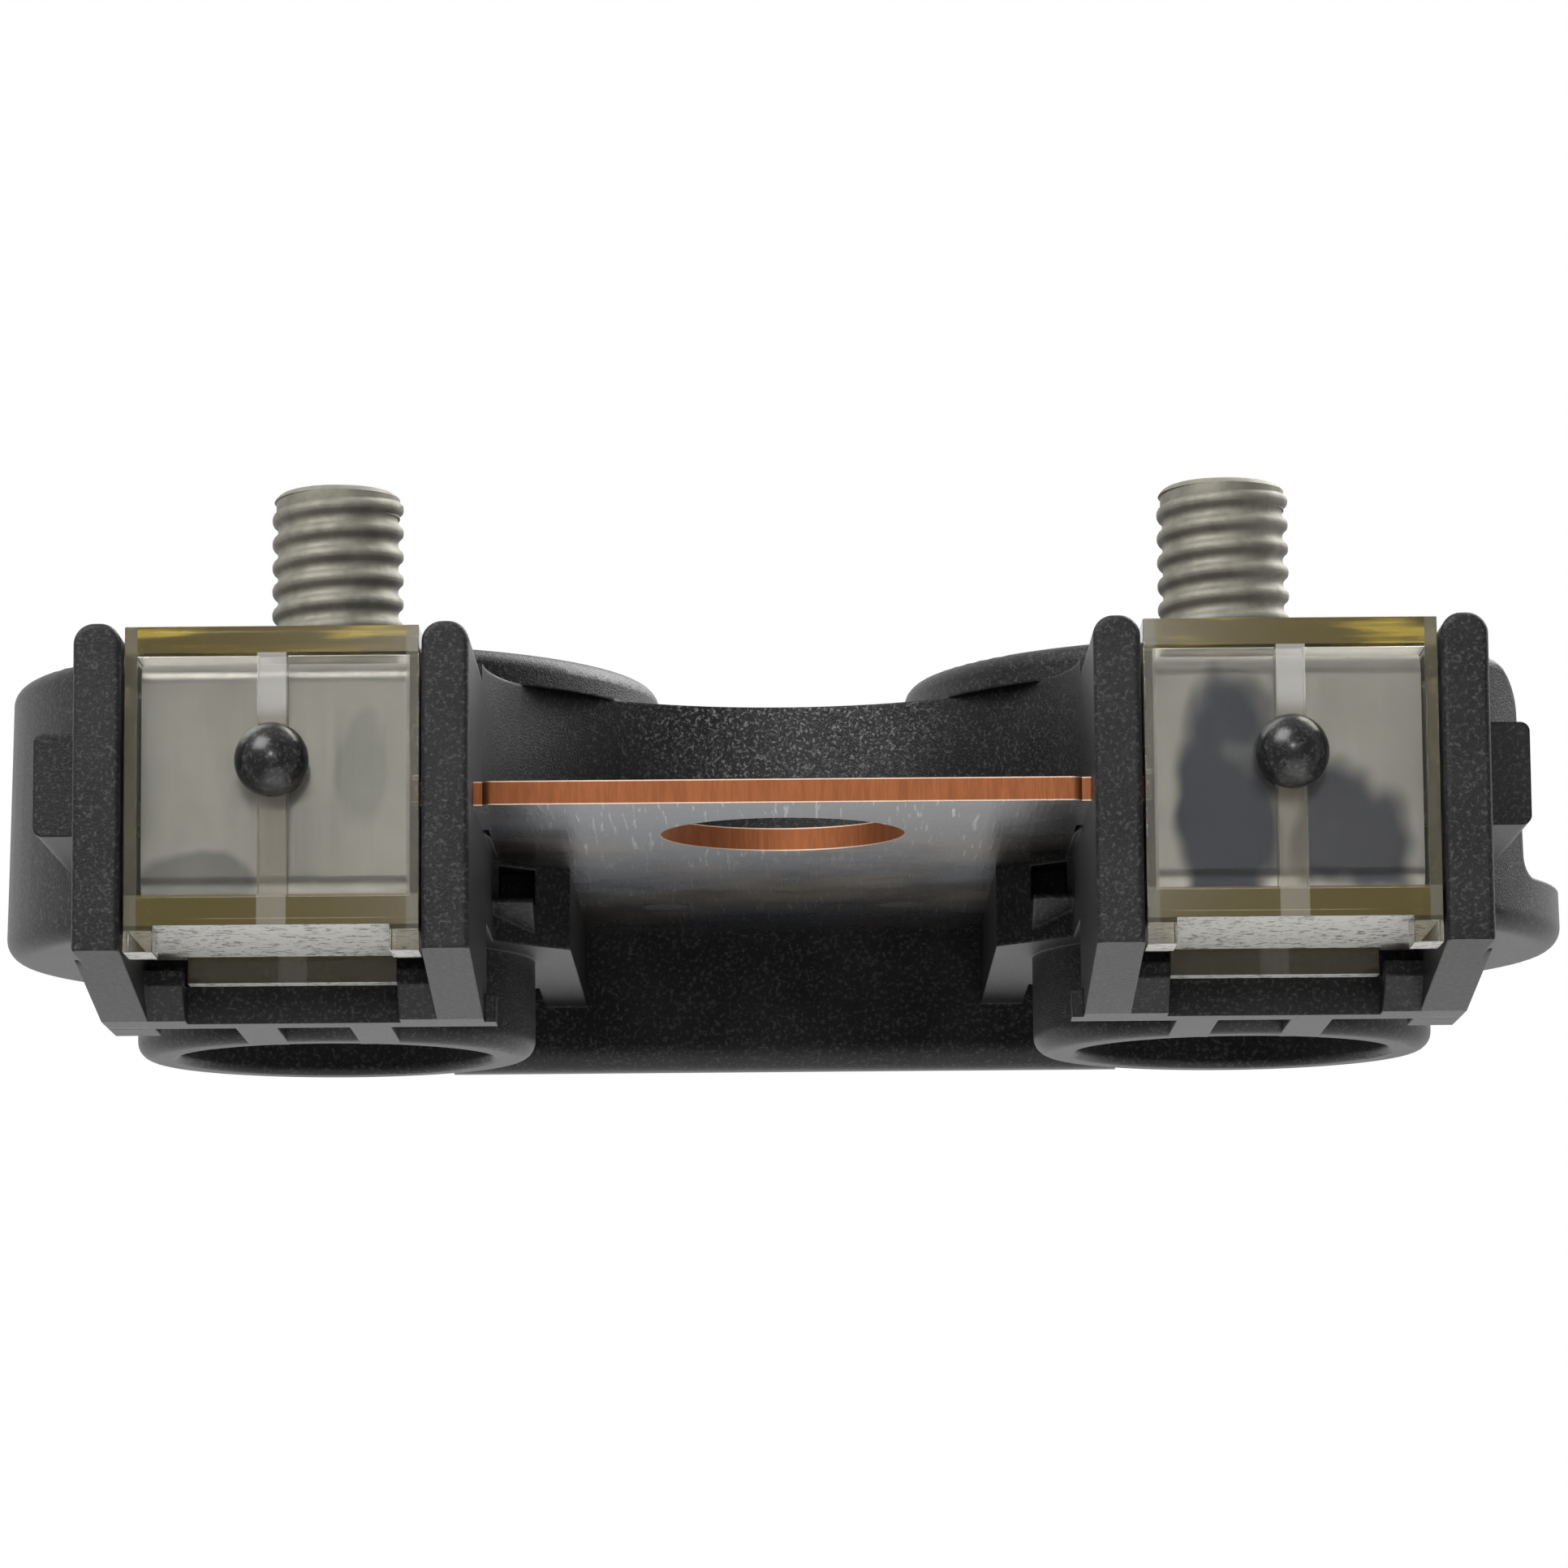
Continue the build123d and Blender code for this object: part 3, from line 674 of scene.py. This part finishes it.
class FUSE_OT_studs(bpy.types.Operator):
    """Model the threaded studs with their hexagon heads"""

    bl_idname = "battery_fuse.studs"
    bl_label = "Studs"

    def execute(self, context):
        thread = settings().thread
        low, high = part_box("stud_right")
        centre = (low + high) / 2
        head_top, terminal_top = (corner.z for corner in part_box("terminal_right"))
        neck_top = terminal_top + thread.neck_height
        stud = self.threads(thread, centre, neck_top, high.z)
        envelope = self.rod(
            "envelope", centre, 96, thread.radius, neck_top - 2 * OVERSHOOT, high.z
        )
        self.round_top(envelope, high.z, thread.tip_round)
        root = thread.radius - thread.depth * 0.7
        tip = self.rod("tip", centre, 96, root, high.z - 1.2 * MM, high.z + 0.8 * MM)
        carve(stud, tip, "UNION")
        carve(stud, envelope, "INTERSECT")
        neck_radius = thread.radius + thread.neck_extra
        neck = self.rod("neck", centre, 64, neck_radius, head_top, neck_top)
        head = self.hexagon(centre, low.z, head_top, high.y - low.y, thread.head_round)
        bpy.ops.object.select_all(action="DESELECT")
        for piece in (neck, head, stud):
            piece.select_set(True)
        bpy.context.view_layer.objects.active = stud
        bpy.ops.object.join()
        stud.name = stud.data.name = "threaded_stud_right"
        smooth(stud, 40)
        other = twin(stud, "threaded_stud_left", flip=False)
        material = stud_plating()
        for side, piece in zip(SIDES, (other, stud)):
            dress(piece, material, f"stud_{side}")
        return {"FINISHED"}

    def rod(self, name, centre, sides, radius, low_z, high_z):
        """An upright rod between two heights."""
        return fresh(
            "cylinder", name, vertices=sides, radius=radius, depth=high_z - low_z,
            location=(centre.x, centre.y, (low_z + high_z) / 2),
        )

    def threads(self, thread, centre, low_z, high_z):
        """A closed rod with a helical thread, a little longer than it has to be."""
        root = thread.radius - thread.depth
        rod = fresh("plane", "thread", size=1)
        bpy.ops.object.mode_set(mode="EDIT")
        bpy.ops.mesh.delete(type="VERT")
        mesh = bmesh.from_edit_mesh(rod.data)
        profile = (*CREST, *((1 - share, depth) for share, depth in reversed(CREST[:-1])))
        points = [
            mesh.verts.new((root + thread.depth * depth, 0, share * thread.pitch))
            for share, depth in profile
        ]
        for first, second in zip(points, points[1:]):
            mesh.edges.new((first, second))
        bmesh.update_edit_mesh(rod.data)
        bpy.ops.object.mode_set(mode="OBJECT")
        screw = rod.modifiers.new("helix", "SCREW")
        screw.angle, screw.screw_offset = math.tau, thread.pitch
        screw.iterations = math.ceil((high_z - low_z) / thread.pitch) + 4
        screw.steps = screw.render_steps = thread.steps
        screw.use_merge_vertices, screw.merge_threshold = True, 0.001 * MM
        bpy.ops.object.modifier_apply(modifier=screw.name)
        bpy.ops.object.mode_set(mode="EDIT")
        bpy.ops.mesh.select_all(action="SELECT")
        bpy.ops.mesh.remove_doubles(threshold=0.002 * MM)
        start = low_z - 2 * thread.pitch
        bpy.ops.transform.translate(value=(centre.x, centre.y, start))
        spare = 0.5 * MM
        for place, normal in ((low_z - spare, (0, 0, -1)), (high_z + spare, (0, 0, 1))):
            bpy.ops.mesh.select_all(action="SELECT")
            bpy.ops.mesh.bisect(
                plane_co=(centre.x, centre.y, place), plane_no=normal, use_fill=True,
                clear_outer=True, threshold=CUT_THRESHOLD,
            )
        bpy.ops.mesh.select_all(action="SELECT")
        bpy.ops.mesh.normals_make_consistent(inside=False)
        bpy.ops.object.mode_set(mode="OBJECT")
        return rod

    def round_top(self, piece, top, size):
        """Rounds the rim of the top face."""
        bpy.ops.object.mode_set(mode="EDIT")
        pick(piece, "EDGE", lambda co, e: all(v.co.z > top - 1 * MM for v in e.verts))
        bpy.ops.mesh.bevel(offset=size, offset_type="OFFSET", segments=7, profile=0.5)
        bpy.ops.object.mode_set(mode="OBJECT")

    def hexagon(self, centre, low_z, high_z, flats, rounding):
        """The stud's hexagon head, its lower corners turned off."""
        corners = flats / 2 / math.cos(math.pi / 6)
        head = self.rod("head", centre, 6, corners, low_z, high_z)
        turned = self.rod("turned", centre, 96, flats / 2 * 1.13, low_z, high_z + 2 * OVERSHOOT)
        bpy.ops.object.mode_set(mode="EDIT")
        pick(turned, "EDGE", lambda co, e: all(v.co.z < low_z + NEAR for v in e.verts))
        bpy.ops.mesh.bevel(offset=rounding, offset_type="OFFSET", segments=3, profile=0.5)
        bpy.ops.object.mode_set(mode="OBJECT")
        carve(head, turned, "INTERSECT")
        return head


class FUSE_OT_covers(bpy.types.Operator):
    """Model the clear covers over the fuse chambers"""

    bl_idname = "battery_fuse.covers"
    bl_label = "Covers"

    def execute(self, context):
        walls = settings().cover
        low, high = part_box("cover_right")
        low_z = low.z + walls.drop
        middle = (low.x + high.x) / 2
        shell = block("clear_cover_right", (low.x, low.y, low_z), high)
        bpy.ops.object.mode_set(mode="EDIT")
        inner_x = (low.x + walls.side_wall, high.x - walls.side_wall)
        inner_z = (low_z + walls.bottom_wall, high.z - walls.top_wall)
        slice_at(0, *inner_x)
        slice_at(2, *inner_z)
        pick(
            shell, "FACE",
            lambda c, n: n.y > SQUARE_ON
            and inner_x[0] < c.x < inner_x[1] and inner_z[0] < c.z < inner_z[1],
        )
        inside_y = low.y + walls.front_wall
        pull((0, inside_y - high.y, 0))

        rib_x = (middle - walls.rib_width / 2, middle + walls.rib_width / 2)
        slice_at(0, *rib_x)
        pick(
            shell, "FACE",
            lambda c, n: n.y > SQUARE_ON and abs(c.y - inside_y) < NEAR
            and rib_x[0] < c.x < rib_x[1],
        )
        pull((0, walls.rib_depth, 0))

        foot_x = (low.x + walls.foot_width, high.x - walls.foot_width)
        foot_y = low.y + walls.foot_depth
        slice_at(0, *foot_x)
        slice_at(1, foot_y)
        pick(
            shell, "FACE",
            lambda c, n: n.z < -SQUARE_ON and c.z < low_z + NEAR and c.y < foot_y
            and not foot_x[0] < c.x < foot_x[1],
        )
        pull((0, 0, -walls.foot_drop))

        lip_x = (low.x + walls.lip_inset, high.x - walls.lip_inset)
        lip_y = high.y - walls.lip_depth
        slice_at(0, *lip_x)
        slice_at(1, lip_y)
        pick(
            shell, "FACE",
            lambda c, n: n.z < -SQUARE_ON and abs(c.z - low_z) < NEAR and c.y > lip_y
            and lip_x[0] < c.x < lip_x[1],
        )
        pull((0, 0, low.z - low_z))
        bpy.ops.mesh.select_all(action="SELECT")
        bpy.ops.mesh.dissolve_limited(angle_limit=math.radians(1))
        bpy.ops.object.mode_set(mode="OBJECT")

        bar_low, bar_high = (corner.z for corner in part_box("bus_bar"))
        slot_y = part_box("link_right")[0].y + walls.slot_back
        slot = block(
            "slot",
            (low.x - OVERSHOOT, slot_y, bar_low - walls.slot_room),
            (low.x + walls.slot_depth, high.y + OVERSHOOT, bar_high + walls.slot_room),
        )
        carve(shell, slot)
        bore = fresh(
            "cylinder", "bore", vertices=48, radius=walls.bore_radius, depth=6 * MM,
            location=(middle, low.y, settings().finish.head_height),
            rotation=(math.pi / 2, 0, 0),
        )
        carve(shell, bore)
        other = twin(shell, "clear_cover_left", flip=True)
        clear = clear_plastic()
        for side, piece in zip(SIDES, (other, shell)):
            soften(piece, walls.edge, 3)
            dress(piece, clear, f"cover_{side}")
        return {"FINISHED"}


class FUSE_OT_stage(bpy.types.Operator):
    """Set up the floor, the light and the camera"""

    bl_idname = "battery_fuse.stage"
    bl_label = "Stage"

    def execute(self, context):
        stage = settings().stage
        floor = fresh("circle", "floor", vertices=96, radius=FLOOR_RADIUS, fill_type="NGON")
        paint(floor, self.floor_material(stage))
        self.world(stage)
        for lamp in LAMPS:
            self.lamp(*lamp)
        self.camera(stage)
        context.scene.view_settings.view_transform = "Standard"
        return {"FINISHED"}

    def floor_material(self, stage):
        """Pale floor seen only by a camera above it, so that light from below passes."""
        shader = Shader("floor")
        seen = shader.node("ShaderNodeLightPath", output="Is Camera Ray")
        under = shader.node("ShaderNodeNewGeometry", output="Backfacing")
        length = {"operation": "LENGTH"}
        away = shader.node("ShaderNodeVectorMath", length, (shader.place(),), output="Value")
        pale = shader.node("ShaderNodeBsdfDiffuse", None, {"Color": (*stage.floor, 1)})
        white = shader.node("ShaderNodeEmission", None, {"Color": (1, 1, 1, 1)})
        lit = shader.over(away.between(*FLOOR_FADE), pale, white)
        clear = shader.node("ShaderNodeBsdfTransparent")
        return shader.end(shader.over(seen * (1 - under), clear, lit))

    def world(self, stage):
        """White to the camera, an even fill, and for gloss and glass a room darker in front."""
        shader = Shader("studio", bpy.data.worlds)
        bpy.context.scene.world = shader.block
        seen, gloss, through = (
            shader.node("ShaderNodeLightPath", output=f"Is {ray} Ray")
            for ray in ("Camera", "Glossy", "Transmission")
        )
        heading = shader.along(shader.node("ShaderNodeTexCoord", output="Generated"), "Y")
        room = stage.room + heading.between(-0.45, 0.3) * (1 - stage.room)
        sharp = gloss.most(through)
        level = seen + (1 - seen) * (sharp * room + (1 - sharp) * stage.fill)
        sky = {"Color": (1, 1, 1, 1), "Strength": level}
        shader.end(
            shader.node("ShaderNodeBackground", None, sky), kind="ShaderNodeOutputWorld"
        )

    def lamp(self, name, where, size, power):
        """A square soft light aimed at the middle of the part."""
        data = bpy.data.lights.new(name, "AREA")
        data.size, data.energy = size, power
        lamp = bpy.data.objects.new(name, data)
        bpy.context.scene.collection.objects.link(lamp)
        lamp.location = where
        lamp.rotation_euler = (AIM - Vector(where)).to_track_quat("-Z", "Y").to_euler()

    def camera(self, stage):
        """The photograph's viewpoint: low, looking slightly up at the front."""
        data = bpy.data.cameras.new("camera")
        data.lens, data.sensor_width = stage.lens, 36
        data.clip_start, data.clip_end = 0.005, 20
        camera = bpy.data.objects.new("camera", data)
        bpy.context.scene.collection.objects.link(camera)
        tilt = Matrix.Rotation(math.pi / 2 + stage.pitch, 4, "X")
        turn = Matrix.Rotation(-stage.roll, 4, "Z")
        stud_low, stud_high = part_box("stud_right")
        back = (stud_low.y + stud_high.y) / 2 - stage.distance
        place = Matrix.Translation((stage.shift, back, -stage.drop))
        camera.matrix_world = place @ tilt @ turn
        bpy.context.scene.camera = camera


class FUSE_PT_sidebar(bpy.types.Panel):
    """Lists the pieces of the battery fuse"""

    bl_idname = "FUSE_PT_sidebar"
    bl_label = "Battery Fuse"
    bl_space_type = "VIEW_3D"
    bl_region_type = "UI"
    bl_category = "Battery Fuse"

    def draw(self, context):
        column = self.layout.column()
        for step in STEPS:
            column.operator(step.bl_idname)
        for group in ("finish", "thread", "cover", "stage"):
            values = getattr(context.scene.battery_fuse, group)
            box = self.layout.box()
            box.label(text=group.capitalize())
            for key in values.__annotations__:
                box.prop(values, key)


STEPS = (FUSE_OT_stage, FUSE_OT_moulding, FUSE_OT_sheet_metal, FUSE_OT_studs, FUSE_OT_covers)
CLASSES = (
    FinishSettings,
    ThreadSettings,
    CoverSettings,
    StageSettings,
    FuseSettings,
    *STEPS,
    FUSE_PT_sidebar,
)


def register():
    for item in CLASSES:
        bpy.utils.register_class(item)
    bpy.types.Scene.battery_fuse = PointerProperty(type=FuseSettings)


def unregister():
    del bpy.types.Scene.battery_fuse
    for item in reversed(CLASSES):
        bpy.utils.unregister_class(item)


def main():
    """Registers the add-on and makes every piece in order."""
    register()
    for step in STEPS:
        area, name = step.bl_idname.split(".")
        if getattr(getattr(bpy.ops, area), name)() != {"FINISHED"}:
            raise RuntimeError(f"{step.bl_label} did not finish")


if __name__ == "__main__":
    main()
